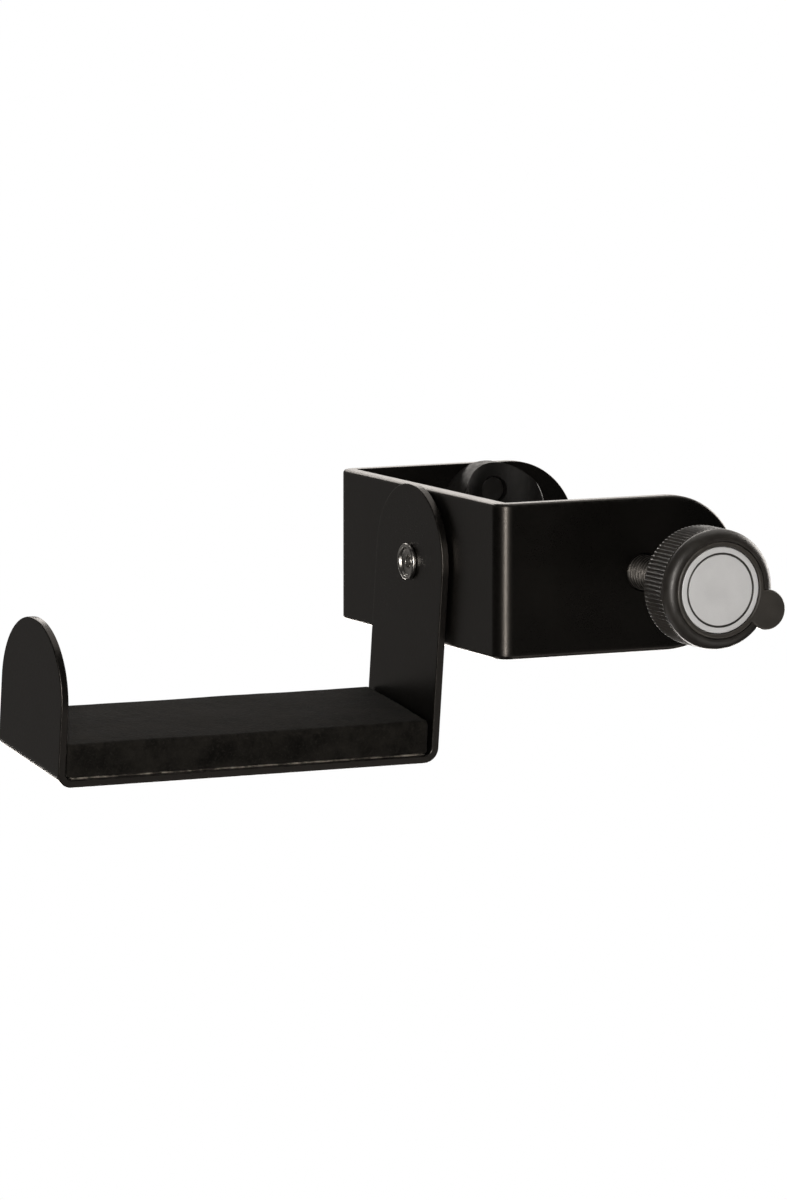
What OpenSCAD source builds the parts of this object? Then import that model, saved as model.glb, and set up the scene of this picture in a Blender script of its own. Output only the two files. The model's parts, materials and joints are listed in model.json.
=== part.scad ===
// Headphone hook with a screw clamp for a stand tube.
// Frame: origin on the clamped tube's axis at the screw's height, +Z up the tube,
// +X along the clamp arms towards their round tips, +Y from the knob towards the saddle.

/* [Clamp bracket] */
// Width of the bracket strip, which is the clamp's height
jaw_h = 35; // [32:1:40]
// Outer distance between the two arms' outside faces
bracket_w = 84.2; // [76:0.1:90]
// Thickness of the bracket steel
bracket_t = 3.2; // [2:0.1:4]
// Distance from the web's outside face to the tube's axis
web_to_axis = 36.4; // [32:0.2:42]
// Distance from the tube's axis to the centre of the arms' round ends
end_past_axis = 6.4; // [3:0.2:10]
// Distance from the tube's axis to the back arm's outside face
axis_to_back = 19; // [18.5:0.5:22]

/* [Tube seat] */
// Diameter of the tube that the clamp holds
tube_d = 22; // [20:0.5:24]
// Width of the saddle
saddle_w = 22; // [21:0.5:26]
// Half the angle over which the saddle hugs the tube
seat_half_angle = 56; // [54:1:58]

/* [Clamp screw] */
// Outer diameter of the screw's thread
screw_d = 8; // [8:8]
// Diameter of the foot that presses on the tube
foot_d = 18; // [14:1:20]
// Free screw length between the front arm and the knob
screw_free = 24.8; // [18:0.2:30]
// Height of the screw above the middle of the bracket strip
screw_rise = 0.5; // [0:0.1:2]

/* [Knob] */
// Diameter of the knob over its fine serrations
knob_d = 26.8; // [25:0.2:32]
// Length of the knob along the screw
knob_l = 12; // [11:0.5:14]
// Number of serrations around the knob
knob_teeth = 90; // [60:6:108]
// Diameter of the plain disc in the knob's face
disc_d = 19.2; // [16:0.2:19.4]
// Direction of the thumb lug about the screw, from +X towards -Z
lug_angle = 23; // [0:1:359]

/* [Hook] */
// Width of the hook strip
hook_w = 34.5; // [32:0.5:40]
// Thickness of the hook steel
hook_t = 1.8; // [1.5:0.1:2.5]
// Length of the tray over the outside faces of the strap and the tab
tray_l = 93.6; // [70:0.2:110]
// Drop from the pivot to the tray's underside
tray_drop = 42.9; // [36:0.2:50]
// Height of the strap's round top above the pivot
hook_top = 17.8; // [17:0.2:24]
// Height of the tab above the tray's underside
tab_h = 34.6; // [28:0.2:44]
// Lean of the hook about its pivot
hook_lean = 7.5; // [-15:0.5:15]
// Distance of the pivot from the web's middle towards the knob
pivot_shift = 0.8; // [-4:0.2:6]
// Thickness of the soft pad on the tray
pad_t = 7.8; // [4:0.2:9]

/* [Hidden] */
$fn = 96;
cut = 1;                 // how far a cutting solid runs past the face it cuts
gap = 0.1;               // side clearance of a part laid in a pocket
fit = 0.05;              // radial running clearance of a shaft in its hole
face_gap = 0.05;         // clearance between flat faces that turn on each other

// Bracket
tube_r = tube_d / 2;
web_x = -web_to_axis;
back_y = axis_to_back;
front_y = back_y - bracket_w;
arm_in_back = back_y - bracket_t;
arm_in_front = front_y + bracket_t;
bend_in = 0.6;
bend_out = bend_in + bracket_t;

// Saddle and the rivets that hold it
seat_depth_y = tube_r * cos(seat_half_angle);
saddle_rivet_z = 11;
saddle_rivet_r = 1.6;
saddle_head_r = 3;
saddle_head_h = 1.2;
saddle_dome_r = 4.5;
saddle_bore_r = 3.3;
saddle_bore_floor = 3;

// Foot, journal and retaining ring
foot_r = foot_d / 2;
foot_face_y = -tube_r - gap;
foot_pad_t = 2.4;
foot_plate_t = 5;
foot_plate_front = foot_face_y - foot_pad_t;
foot_plate_back = foot_plate_front - foot_plate_t;
foot_wall = 2.8;
foot_pocket_r = 4.8;
foot_chamfer = 1;
journal_r = 2.5;
journal_sink = 0.4;
journal_end_y = foot_plate_front - journal_sink;
ring_t = 0.6;
ring_r = 4.3;
ring_groove_r = 2;
ring_back_y = foot_plate_back + foot_wall + gap;
ring_mouth = 100;        // opening angle of the retaining ring

// Screw and nut
screw_r = screw_d / 2;
screw_play = 0.3;
screw_hole_r = screw_r + screw_play;
shoulder_y = foot_plate_back - gap;
nut_af = 13;
nut_h = 6.5;
head_af = 13;
head_h = 5.3;

// Knob
knob_r = knob_d / 2;
knob_back_y = front_y - screw_free;
knob_face_y = knob_back_y - knob_l;
shoulder_r = 2.5;
tooth_depth = 0.35;
rim_w = 0.8;
rim_step = 0.15;         // how far the rim lies inside the roots of the serrations
rim_r = knob_r - tooth_depth - rim_step;
groove_w = 0.5;
groove_depth = 0.7;
groove_r = knob_r - groove_depth;
plate_t = 2.8;
plate_floor = 0.9;
plate_r = knob_r - shoulder_r - gap;
disc_r = disc_d / 2;
disc_sink = 0.4;
disc_back_y = knob_face_y + plate_t - plate_floor;
disc_t = plate_t - plate_floor - disc_sink;
disc_groove_inset = 1.3;
disc_groove_r = disc_r - disc_groove_inset;
disc_groove_w = 0.4;
disc_groove_depth = 0.3;
lug_r = 4.5;
lug_offset = 12.6;
head_front_y = knob_face_y + plate_t + gap;
head_back_y = head_front_y + head_h;
skirt_wall = 2.2;
hub_r = 8.4;
skirt_pocket = 4;
rib_count = 6;
rib_w = 1.4;

// Pivot stack, from the outside in: rivet head, strap, friction disc, web, washers, clinch
pivot_y = (front_y + back_y) / 2 - pivot_shift;
friction_t = 0.5;
strap_in_x = web_x - friction_t - face_gap;
strap_out_x = strap_in_x - hook_t;
rivet_r = 2.5;
rivet_head_r = 4.2;
rivet_head_t = 1;
rivet_bore_r = 1.5;
rivet_bore_depth = 2.4;
friction_r = 10;
wave_t = 0.8;
wave_r = 6;
washer_t = 0.8;
washer_r = 6.5;
web_in_x = web_x + bracket_t;
washer_x = web_in_x + wave_t;
clinch_x = washer_x + washer_t;
clinch_t = 1.1;
clinch_r = 3.6;

// Hook, drawn upright about its own pivot and then leaned
hook_bend_in = 1.6;
hook_bend_out = hook_bend_in + hook_t;
tab_out_x = strap_in_x - tray_l;
tab_in_x = tab_out_x + hook_t;
tray_under_z = -tray_drop;
tray_top_z = tray_under_z + hook_t;
glue_t = 0.3;
glue_end_gap = 1.8;      // keeps the glue clear of the tray's inner bends
pad_side_gap = 0.8;
pad_end_gap = 0.5;
pad_edge_r = 1.4;
pad_w = hook_w - 2 * pad_side_gap;
pad_x0 = tab_in_x + pad_end_gap;
pad_x1 = strap_out_x - pad_end_gap;
pad_z0 = tray_top_z + glue_t;

// A solid of revolution about the screw's axis: its 2D x is the radius, its 2D y runs along +Y
module about_screw() rotate([-90, 0, 0]) rotate_extrude() children();

// A round bar along +Y from y0 to y1 on the screw's axis
module bar_y(r, y0, y1) translate([0, y0, 0]) rotate([-90, 0, 0]) cylinder(r = r, h = y1 - y0);

// A round bar along +X from x0 to x1
module bar_x(r, x0, x1) translate([x0, 0, 0]) rotate([0, 90, 0]) cylinder(r = r, h = x1 - x0);

// A hexagonal bar along +Y, af across its flats
module hex_y(af, y0, y1) {
    translate([0, y0, 0]) rotate([-90, 0, 0]) cylinder(r = af / sqrt(3), h = y1 - y0, $fn = 6);
}

// A quarter of a flat ring in the quadrant +x, +y, for a bend in a strip
module quarter_ring(r_in, r_out) {
    difference() {
        intersection() {
            circle(r_out);
            square(r_out);
        }
        circle(r_in);
    }
}

// Outline with a full round end: a band of the given width that ends at centre x = end_x
module round_end_band(x0, end_x, width) {
    translate([x0, -width / 2]) square([end_x - x0, width]);
    translate([end_x, 0]) circle(width / 2);
}

// Plan of the U: the web and the two arms with their bends
module bracket_plan() {
    arm_l = end_past_axis + jaw_h / 2 - web_x;
    translate([web_x, front_y + bend_out]) square([bracket_t, bracket_w - 2 * bend_out]);
    for (y = [front_y, arm_in_back]) {
        translate([web_x + bend_out, y]) square([arm_l - bend_out, bracket_t]);
    }
    translate([web_x + bend_out, back_y - bend_out]) mirror([1, 0]) quarter_ring(bend_in, bend_out);
    translate([web_x + bend_out, front_y + bend_out]) rotate(180) quarter_ring(bend_in, bend_out);
}

module bracket() {
    color([0.10, 0.095, 0.09]) difference() {
        translate([0, 0, -screw_rise]) intersection() {
            translate([0, 0, -jaw_h / 2]) linear_extrude(jaw_h) bracket_plan();
            translate([0, back_y + cut, 0]) rotate([90, 0, 0]) linear_extrude(bracket_w + 2 * cut)
                round_end_band(web_x - cut, end_past_axis, jaw_h);
        }
        bar_y(screw_hole_r, front_y - cut, arm_in_front + cut);
        translate([0, pivot_y, 0]) bar_x(rivet_r + fit, web_x - cut, web_in_x + cut);
        for (side = [-1, 1]) {
            translate([0, 0, side * saddle_rivet_z])
                bar_y(saddle_rivet_r + fit, arm_in_back - cut, back_y + cut);
        }
    }
}

module weld_nut() {
    color("dimgray") difference() {
        hex_y(nut_af, arm_in_front, arm_in_front + nut_h);
        bar_y(screw_r + fit, arm_in_front - cut, arm_in_front + nut_h + cut);
    }
}

module saddle() {
    color([0.13, 0.13, 0.13]) difference() {
        translate([0, arm_in_back, 0]) rotate([90, 0, 0]) linear_extrude(arm_in_back - seat_depth_y) {
            square([saddle_w, jaw_h - saddle_w], center = true);
            for (side = [-1, 1]) translate([0, side * (jaw_h - saddle_w) / 2]) circle(saddle_w / 2);
        }
        translate([0, 0, -jaw_h]) cylinder(r = tube_r, h = 2 * jaw_h);
        for (side = [-1, 1]) translate([0, 0, side * saddle_rivet_z]) {
            bar_y(saddle_rivet_r + fit, 0, arm_in_back + cut);
            bar_y(saddle_bore_r, 0, arm_in_back - saddle_bore_floor);
        }
    }
}

module saddle_rivets() {
    inner_y = arm_in_back - saddle_bore_floor;
    color("dimgray") for (side = [-1, 1]) translate([0, 0, side * saddle_rivet_z]) {
        bar_y(saddle_rivet_r, inner_y - saddle_head_h / 2, back_y + saddle_head_h / 2);
        bar_y(saddle_head_r, inner_y - saddle_head_h, inner_y);
        translate([0, back_y, 0]) about_screw() intersection() {
            translate([0, saddle_head_h - saddle_dome_r]) circle(saddle_dome_r);
            square([saddle_head_r, saddle_head_h]);
        }
    }
}

module pivot_rivet() {
    head_x = strap_out_x - face_gap;
    color("silver") translate([0, pivot_y, 0]) difference() {
        union() {
            bar_x(rivet_head_r, head_x - rivet_head_t, head_x);
            bar_x(rivet_r, head_x - rivet_head_t / 2, clinch_x + clinch_t / 2);
            bar_x(clinch_r, clinch_x, clinch_x + clinch_t);
        }
        bar_x(rivet_bore_r, head_x - rivet_head_t - cut, head_x - rivet_head_t + rivet_bore_depth);
        bar_x(rivet_bore_r, clinch_x + clinch_t - rivet_bore_depth, clinch_x + clinch_t + cut);
    }
}

// A flat ring on the pivot, from x0 inwards
module pivot_ring(r, x0, t) {
    translate([0, pivot_y, 0]) difference() {
        bar_x(r, x0, x0 + t);
        bar_x(rivet_r + fit, x0 - cut, x0 + t + cut);
    }
}

module friction_disc() color("ivory") pivot_ring(friction_r, web_x - friction_t, friction_t);

module wave_washer() color("silver") pivot_ring(wave_r, web_in_x, wave_t);

module flat_washer() color("silver") pivot_ring(washer_r, washer_x, washer_t);

// Puts a shape drawn about the pivot, upright, in its leaned place
module on_pivot() translate([0, pivot_y, 0]) rotate([hook_lean, 0, 0]) children();

// Side view of the hook strip in X and Z: the strap, the tray and the tab with their bends
module hook_profile() {
    tray_x0 = tab_out_x + hook_bend_out;
    tray_x1 = strap_in_x - hook_bend_out;
    bend_z = tray_under_z + hook_bend_out;
    translate([strap_out_x, bend_z]) square([hook_t, tray_drop + hook_top - hook_bend_out]);
    translate([tray_x0, tray_under_z]) square([tray_x1 - tray_x0, hook_t]);
    translate([tab_out_x, bend_z]) square([hook_t, tab_h - hook_bend_out]);
    translate([tray_x0, bend_z]) rotate(180) quarter_ring(hook_bend_in, hook_bend_out);
    translate([tray_x1, bend_z]) rotate(-90) quarter_ring(hook_bend_in, hook_bend_out);
}

// Upright outline in Y and Z, as a bar along X, that rounds the top of the strap or the tab
module upright_bar(x0, x1, top_z) {
    r = hook_w / 2;
    translate([x0, 0, top_z - r]) rotate([0, 90, 0]) cylinder(r = r, h = x1 - x0);
    translate([x0, -r, tray_under_z - cut]) cube([x1 - x0, hook_w, top_z - r - tray_under_z + cut]);
}

module hook_strip() {
    middle_x = (tab_out_x + strap_in_x) / 2;
    color([0.11, 0.105, 0.10]) on_pivot() difference() {
        intersection() {
            translate([0, hook_w / 2, 0]) rotate([90, 0, 0]) linear_extrude(hook_w) hook_profile();
            union() {
                upright_bar(middle_x, strap_in_x + cut, hook_top);
                upright_bar(tab_out_x - cut, middle_x, tray_under_z + tab_h);
            }
        }
        bar_x(rivet_r + fit, strap_out_x - cut, strap_in_x + cut);
    }
}

module pad_glue() {
    x0 = tab_in_x + glue_end_gap;
    color("tan") on_pivot() translate([x0, -pad_w / 2, tray_top_z])
        cube([strap_out_x - glue_end_gap - x0, pad_w, glue_t]);
}

// Section of the pad across the tray: flat below, with its two upper edges rounded
module pad_section() {
    half = pad_w / 2;
    translate([-half, 0]) square([pad_w, pad_t - pad_edge_r]);
    translate([-half + pad_edge_r, 0]) square([pad_w - 2 * pad_edge_r, pad_t]);
    for (side = [-1, 1]) translate([side * (half - pad_edge_r), pad_t - pad_edge_r]) circle(pad_edge_r);
}

module tray_pad() {
    color([0.14, 0.13, 0.12]) on_pivot() translate([pad_x0, 0, pad_z0])
        rotate([90, 0, 90]) linear_extrude(pad_x1 - pad_x0) pad_section();
}

module foot_plate() {
    color("dimgray") difference() {
        about_screw() polygon([
            [0, foot_plate_back],
            [foot_r - foot_chamfer, foot_plate_back],
            [foot_r, foot_plate_back + foot_chamfer],
            [foot_r, foot_plate_front],
            [0, foot_plate_front]
        ]);
        bar_y(journal_r + fit, foot_plate_back - cut, foot_plate_front + cut);
        bar_y(foot_pocket_r, foot_plate_back + foot_wall, foot_plate_front + cut);
    }
}

module foot_pad() color([0.16, 0.16, 0.16]) bar_y(foot_r, foot_plate_front, foot_face_y);

module clamp_screw() {
    color("gray") {
        hex_y(head_af, head_front_y, head_back_y);
        difference() {
            union() {
                bar_y(screw_r, head_back_y - cut, shoulder_y);
                bar_y(journal_r, shoulder_y - cut, journal_end_y);
            }
            difference() {
                bar_y(journal_r + cut, ring_back_y, ring_back_y + ring_t);
                bar_y(ring_groove_r, ring_back_y - cut, ring_back_y + ring_t + cut);
            }
        }
    }
}

module retaining_ring() {
    y0 = ring_back_y;
    reach = 2 * ring_r;
    color("silver") difference() {
        bar_y(ring_r, y0, y0 + ring_t);
        bar_y(ring_groove_r + fit, y0 - cut, y0 + ring_t + cut);
        translate([0, y0 + ring_t + cut, 0]) rotate([90, 0, 0]) linear_extrude(ring_t + 2 * cut) polygon([
            [0, 0],
            reach * [cos(ring_mouth / 2), sin(ring_mouth / 2)],
            reach * [cos(ring_mouth / 2), -sin(ring_mouth / 2)]
        ]);
    }
}

// Star-shaped outline of the serrated skirt
module serration_outline() {
    step = 180 / knob_teeth;
    polygon([
        for (i = [0 : 2 * knob_teeth - 1])
            (knob_r - (i % 2) * tooth_depth) * [cos(i * step), sin(i * step)]
    ]);
}

// Outline of the face plate: the round plate and its thumb lug, grown by margin
module plate_outline(margin) {
    circle(plate_r + margin);
    rotate(lug_angle) translate([lug_offset, 0]) circle(lug_r + margin);
}

// A flat shape across the screw from y0 to y1: its 2D x is X and its 2D y is -Z
module slab_y(y0, y1) translate([0, y0, 0]) rotate([-90, 0, 0]) linear_extrude(y1 - y0) children();

// Half section of the knob's rounded shoulder, in front of the groove
module shoulder_section() {
    translate([0, knob_face_y]) square([knob_r - shoulder_r, shoulder_r]);
    intersection() {
        translate([knob_r - shoulder_r, knob_face_y + shoulder_r]) circle(shoulder_r);
        translate([0, knob_face_y]) square([knob_r, shoulder_r]);
    }
}

// The knob's outer form: shoulder, groove, serrated skirt and plain rim, stacked along the screw
module knob_form() {
    shoulder_end_y = knob_face_y + shoulder_r;
    groove_end_y = shoulder_end_y + groove_w;
    rim_start_y = knob_back_y - rim_w;
    about_screw() shoulder_section();
    bar_y(groove_r, shoulder_end_y, groove_end_y);
    slab_y(groove_end_y, rim_start_y) serration_outline();
    bar_y(rim_r, rim_start_y, knob_back_y);
}

// Hollow behind the face between the hub and the skirt, crossed by ribs
module knob_back_pocket() {
    floor_y = knob_back_y - skirt_pocket;
    difference() {
        bar_y(knob_r - skirt_wall, floor_y, knob_back_y + cut);
        bar_y(hub_r, floor_y - cut, knob_back_y + 2 * cut);
        for (i = [0 : rib_count - 1]) rotate([0, i * 360 / rib_count, 0])
            translate([hub_r / 2, floor_y - cut, -rib_w / 2]) cube([knob_r, skirt_pocket + cut, rib_w]);
    }
}

module knob_body() {
    plate_back_y = knob_face_y + plate_t;
    color([0.12, 0.115, 0.11]) difference() {
        knob_form();
        slab_y(knob_face_y - cut, plate_back_y) plate_outline(gap);
        hex_y(head_af + 2 * gap, plate_back_y - cut, head_back_y);
        bar_y(screw_r + gap, head_back_y - cut, knob_back_y + cut);
        knob_back_pocket();
    }
}

module knob_face() {
    color([0.13, 0.125, 0.12]) difference() {
        slab_y(knob_face_y, knob_face_y + plate_t) plate_outline(0);
        bar_y(disc_r + gap, knob_face_y - cut, disc_back_y);
    }
}

module knob_disc() {
    disc_face_y = disc_back_y - disc_t;
    color([0.75, 0.73, 0.72]) difference() {
        bar_y(disc_r, disc_face_y, disc_back_y);
        difference() {
            bar_y(disc_groove_r, disc_face_y - cut, disc_face_y + disc_groove_depth);
            bar_y(disc_groove_r - disc_groove_w, disc_face_y - 2 * cut, disc_face_y + cut);
        }
    }
}

bracket();
weld_nut();
saddle();
saddle_rivets();
pivot_rivet();
friction_disc();
wave_washer();
flat_washer();
hook_strip();
pad_glue();
tray_pad();
foot_plate();
foot_pad();
clamp_screw();
retaining_ring();
knob_body();
knob_face();
knob_disc();
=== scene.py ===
import json
import math

import bmesh
import bpy
from mathutils import Matrix, Vector, noise

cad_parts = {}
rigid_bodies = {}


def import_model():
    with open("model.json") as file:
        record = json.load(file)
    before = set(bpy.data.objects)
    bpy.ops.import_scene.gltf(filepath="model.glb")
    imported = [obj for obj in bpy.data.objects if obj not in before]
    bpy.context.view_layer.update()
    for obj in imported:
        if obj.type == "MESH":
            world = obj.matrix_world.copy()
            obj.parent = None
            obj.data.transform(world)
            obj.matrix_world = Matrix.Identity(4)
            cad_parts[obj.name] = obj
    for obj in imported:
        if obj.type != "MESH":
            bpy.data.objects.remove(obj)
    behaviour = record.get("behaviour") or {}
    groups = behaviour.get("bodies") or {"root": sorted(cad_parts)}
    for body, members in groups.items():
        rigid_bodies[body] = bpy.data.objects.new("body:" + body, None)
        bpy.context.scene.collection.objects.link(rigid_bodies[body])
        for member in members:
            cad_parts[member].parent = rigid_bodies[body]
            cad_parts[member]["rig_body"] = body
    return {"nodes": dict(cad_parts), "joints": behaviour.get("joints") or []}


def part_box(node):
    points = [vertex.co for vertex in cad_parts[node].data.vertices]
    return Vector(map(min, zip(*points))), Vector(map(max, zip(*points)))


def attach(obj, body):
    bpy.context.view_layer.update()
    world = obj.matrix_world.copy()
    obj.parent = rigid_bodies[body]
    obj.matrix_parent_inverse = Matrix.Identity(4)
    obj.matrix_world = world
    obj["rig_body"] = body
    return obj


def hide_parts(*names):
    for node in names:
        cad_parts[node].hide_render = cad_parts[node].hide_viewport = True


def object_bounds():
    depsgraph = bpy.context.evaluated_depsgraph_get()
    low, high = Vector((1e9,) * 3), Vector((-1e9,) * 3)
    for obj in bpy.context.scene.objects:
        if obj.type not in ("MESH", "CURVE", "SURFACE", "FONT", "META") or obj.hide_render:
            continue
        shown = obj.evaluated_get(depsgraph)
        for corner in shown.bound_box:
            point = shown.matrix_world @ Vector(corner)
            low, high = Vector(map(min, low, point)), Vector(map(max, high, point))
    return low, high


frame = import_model()
cad_low, cad_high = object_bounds()
part_centre = (cad_low + cad_high) / 2

# Shapes are made in millimetres in the part's own frame and become metres in piece().
MM = 0.001


def box_mm(node):
    low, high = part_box(node)
    return low / MM, high / MM


# ---------------------------------------------------------------- driving sizes, in mm
joints = {j["name"]: j for j in frame["joints"]}
pivot = Vector(joints["hook_pivot"]["pos_m"]) / MM
bracket_low, bracket_high = box_mm("bracket")
bracket_t = 3.2
bend_in = 0.6
jaw_r = (bracket_high.z - bracket_low.z) / 2
jaw_z = (bracket_high.z + bracket_low.z) / 2
outer_edge_r = 0.9            # rounding of the bracket's outside edges
inner_edge_r = 0.25
screw_hole_r = 4.3

hook_lean = math.radians(7.5)
hook_w = 34.5
hook_t = 1.8
hook_bend_in = 1.6
hook_edge_r = 0.3
hook_top = 17.8
tray_drop = 42.9
tab_h = 34.6
tab_out_x = box_mm("hook_strip")[0].x
strap_in_x = box_mm("hook_strip")[1].x
pivot_hole_r = 2.55
rivet_head_r = 4.2
rivet_shank_r = 2.5
rivet_bore_r = 1.5            # the hollow in both ends of the tubular rivet
rivet_bore_depth = 2.4
washer_bore_r = 2.6

pad_w = 32.9
pad_t = 7.8
pad_edge_r = 1.3
pad_end_gap = 0.5
glue_t = 0.3

tube_r = 11.0
saddle_low, saddle_high = box_mm("saddle")
saddle_rivet_z = 11.0
saddle_rivet_r = 1.65
counterbore_r = 3.3
counterbore_y = saddle_high.y - 3

screw_r = 4.0
thread_root_r = 3.32
thread_pitch = 1.25
journal_r = 2.5
journal_hole_r = 2.55
ring_groove_r = 2.0           # root of the groove that holds the retaining ring
ring_low, ring_high = box_mm("retaining_ring")
cup_bore_r = 4.8
cup_floor_t = 2.8
hex_af = 13.0
screw_head_h = 5.3

knob_low, knob_high = box_mm("knob_body")
knob_r = knob_high.x
knob_face_y, knob_back_y = knob_low.y, knob_high.y
knob_teeth = 90
tooth_depth = 0.42
shoulder_r = 2.5
plate_r = knob_r - shoulder_r - 0.1
plate_t = 2.8
groove_depth = 0.65           # of the groove between the knob's shoulder and its toothed skirt
groove_w = 0.5
rim_w = 0.8                   # plain rim at the knob's back
rim_inset = 0.5
socket_depth = 8.2            # from the knob's face to the floor under the screw's head
hub_r = 8.4
knob_wall = 2.2
pocket_depth = 4.0
lug_r = 4.5
lug_offset = 12.6
lug_angle = math.radians(23)
disc_r = box_mm("knob_disc")[1].x
ring_inset = 1.3
ring_w = 0.4
ring_depth = 0.3

# Axes that a turned part is drawn about: its own z runs along the screw (+Y) or the pivot (+X)
ON_SCREW = Matrix(((1, 0, 0, 0), (0, 0, 1, 0), (0, -1, 0, 0), (0, 0, 0, 1)))
ON_PIVOT = Matrix(((0, 0, 1, 0), (1, 0, 0, pivot.y), (0, 1, 0, pivot.z), (0, 0, 0, 1)))
ON_HOOK = Matrix.Translation((0, pivot.y, pivot.z)) @ Matrix.Rotation(hook_lean, 4, "X")


# ---------------------------------------------------------------- outlines
def arc(centre, radius, start, end, steps):
    """Points of an arc, angles in degrees, both ends included."""
    turn = [math.radians(start + (end - start) * i / steps) for i in range(steps + 1)]
    return [Vector((centre[0] + radius * math.cos(a), centre[1] + radius * math.sin(a))) for a in turn]


def soften(corners, closed=True, steps=5):
    """Rounds the corners of an outline. Each corner is (x, y) or (x, y, radius)."""
    points = []
    count = len(corners)
    for i, corner in enumerate(corners):
        here = Vector(corner[:2])
        radius = corner[2] if len(corner) > 2 else 0
        if radius <= 0 or (not closed and i in (0, count - 1)):
            points.append(here)
            continue
        back = Vector(corners[i - 1][:2]) - here
        ahead = Vector(corners[(i + 1) % count][:2]) - here
        half = back.angle(ahead) / 2
        reach = min(radius / math.tan(half), 0.495 * back.length, 0.495 * ahead.length)
        radius = reach * math.tan(half)
        centre = here + (back.normalized() + ahead.normalized()).normalized() * (radius / math.sin(half))
        first = here + back.normalized() * reach - centre
        sweep = first.angle_signed(here + ahead.normalized() * reach - centre)
        for k in range(steps + 1):
            spoke = first.copy()
            spoke.rotate(Matrix.Rotation(-sweep * k / steps, 2))
            points.append(centre + spoke)
    return points


def inset_outline(outline, distance):
    """The closed outline moved inwards by a distance, corners kept."""
    moved = []
    for i, here in enumerate(outline):
        back = (here - outline[i - 1]).normalized()
        ahead = (outline[(i + 1) % len(outline)] - here).normalized()
        normal = Vector((-(back.y + ahead.y), back.x + ahead.x)).normalized()
        moved.append(here + normal * distance / max(0.35, normal.dot(Vector((-back.y, back.x)))))
    return moved


# ---------------------------------------------------------------- solids
def to_mesh(shape, name="shape"):
    bmesh.ops.remove_doubles(shape, verts=shape.verts, dist=1e-4)
    bmesh.ops.recalc_face_normals(shape, faces=shape.faces)
    if shape.calc_volume(signed=True) < 0:
        bmesh.ops.reverse_faces(shape, faces=shape.faces)
    mesh = bpy.data.meshes.new(name)
    shape.to_mesh(mesh)
    shape.free()
    return mesh


def skin(rings, capped=True, loop=False):
    """A mesh over rings of points that all have the same count. loop joins the last ring to the first."""
    shape = bmesh.new()
    made = [[shape.verts.new(p) for p in ring] for ring in rings]
    pairs = list(zip(made, made[1:]))
    if loop:
        pairs.append((made[-1], made[0]))
    for lower, upper in pairs:
        for i, vert in enumerate(lower):
            j = (i + 1) % len(lower)
            shape.faces.new((vert, lower[j], upper[j], upper[i]))
    if capped and not loop:
        shape.faces.new(made[0])
        shape.faces.new(made[-1])
    return shape


def lathe(profile, axes=ON_SCREW, turns=96, radius_at=None, ring=False):
    """A solid turned about the local z axis. profile lists (radius, height); ring closes it on itself."""
    rings = []
    for i in range(turns):
        angle = 2 * math.pi * i / turns
        points = []
        for radius, height in profile:
            r = radius_at(angle, radius, height) if radius_at else radius
            points.append(axes @ Vector((r * math.cos(angle), r * math.sin(angle), height)))
        rings.append(points)
    shape = bmesh.new()
    made = [[shape.verts.new(p) for p in points] for points in rings]
    steps = len(profile) if ring else len(profile) - 1
    for a, b in zip(made, made[1:] + made[:1]):
        for k in range(steps):
            m = (k + 1) % len(profile)
            corners = (a[k], b[k], b[m], a[m])
            if profile[k][0] < 1e-6:
                corners = (a[k], b[m], a[m])
            elif profile[m][0] < 1e-6:
                corners = (a[k], b[k], a[m])
            shape.faces.new(corners)
    return to_mesh(shape)


def slab(outline, low, high, rim_low=0.0, rim_high=0.0, axes=ON_SCREW, steps=4):
    """An outline extruded along the local z axis, with its two rims rounded."""
    levels = []
    for k in range(steps + 1):
        a = math.pi / 2 * k / steps
        levels.append((rim_low * (1 - math.sin(a)), low + rim_low * (1 - math.cos(a))))
    for k in range(steps + 1):
        a = math.pi / 2 * (1 - k / steps)
        levels.append((rim_high * (1 - math.sin(a)), high - rim_high * (1 - math.cos(a))))
    rings = []
    for inset, height in levels:
        moved = inset_outline(outline, inset) if inset else outline
        rings.append([axes @ Vector((p.x, p.y, height)) for p in moved])
    return to_mesh(skin(rings))


def combine(mesh, others, operation):
    """The mesh cut by, joined with or kept inside the others, by exact booleans."""
    base = bpy.data.objects.new("base", mesh)
    bpy.context.scene.collection.objects.link(base)
    helpers = [base]
    for other in others:
        tool = bpy.data.objects.new("tool", other)
        bpy.context.scene.collection.objects.link(tool)
        modifier = base.modifiers.new("combine", "BOOLEAN")
        modifier.operation = operation
        modifier.solver = "EXACT"
        modifier.object = tool
        helpers.append(tool)
    ready = base.evaluated_get(bpy.context.evaluated_depsgraph_get())
    result = bpy.data.meshes.new_from_object(ready)
    for helper in helpers:
        bpy.data.objects.remove(helper)
    return result


def carve(mesh, *tools):
    return combine(mesh, tools, "DIFFERENCE")


def common(mesh, *tools):
    return combine(mesh, tools, "INTERSECT")


def merged(*meshes):
    """Separate closed solids in one mesh."""
    shape = bmesh.new()
    for mesh in meshes:
        shape.from_mesh(mesh)
    return to_mesh(shape)


def drill(radius, low, high, axes, flare=0.25):
    """A cutting bar with flared mouths, which leaves a broken edge at both faces."""
    reach = 2.0
    return lathe([
        (0, low - reach), (radius + flare + reach, low - reach), (radius, low + flare),
        (radius, high - flare), (radius + flare + reach, high + reach), (0, high + reach),
    ], axes, 64)


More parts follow.
